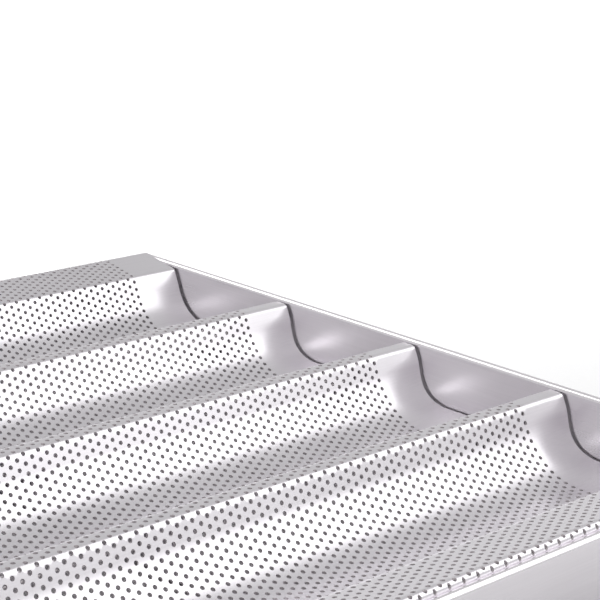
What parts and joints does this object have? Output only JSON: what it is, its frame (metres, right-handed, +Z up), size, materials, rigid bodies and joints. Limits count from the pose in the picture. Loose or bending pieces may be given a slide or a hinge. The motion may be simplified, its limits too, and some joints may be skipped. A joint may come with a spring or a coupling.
{
  "type": "baguette tray",
  "caption": "Perforated trough tray in a folded frame, holding long loaves apart while they prove and bake.",
  "frame": {"origin": "middle of the tray's footprint, on the surface that it stands on", "axes": "+X along the troughs, +Y across them towards the back, +Z up"},
  "size_m": [0.6, 0.4, 0.0367],
  "materials": {
    "trough_sheet": "satin perforated sheet",
    "frame": "satin, brushed lengthwise",
    "bracket": "mill finish",
    "brace": "mill finish",
    "rivet": "plain rivet"
  },
  "bodies": {
    "root": {"trough_sheet": "trough_sheet", "side_rail_front": "frame", "side_rail_back": "frame", "end_rail_left": "frame", "end_rail_right": "frame", "corner_bracket_front_left": "bracket", "corner_bracket_front_right": "bracket", "corner_bracket_back_right": "bracket", "corner_bracket_back_left": "bracket", "cross_brace_left": "brace", "cross_brace_right": "brace", "flange_rivets_front": "rivet", "flange_rivets_back": "rivet", "brace_rivets_left": "rivet", "brace_rivets_right": "rivet", "corner_rivets_front_left": "rivet", "corner_rivets_front_right": "rivet", "corner_rivets_back_right": "rivet", "corner_rivets_back_left": "rivet"}
  },
  "joints": []
}
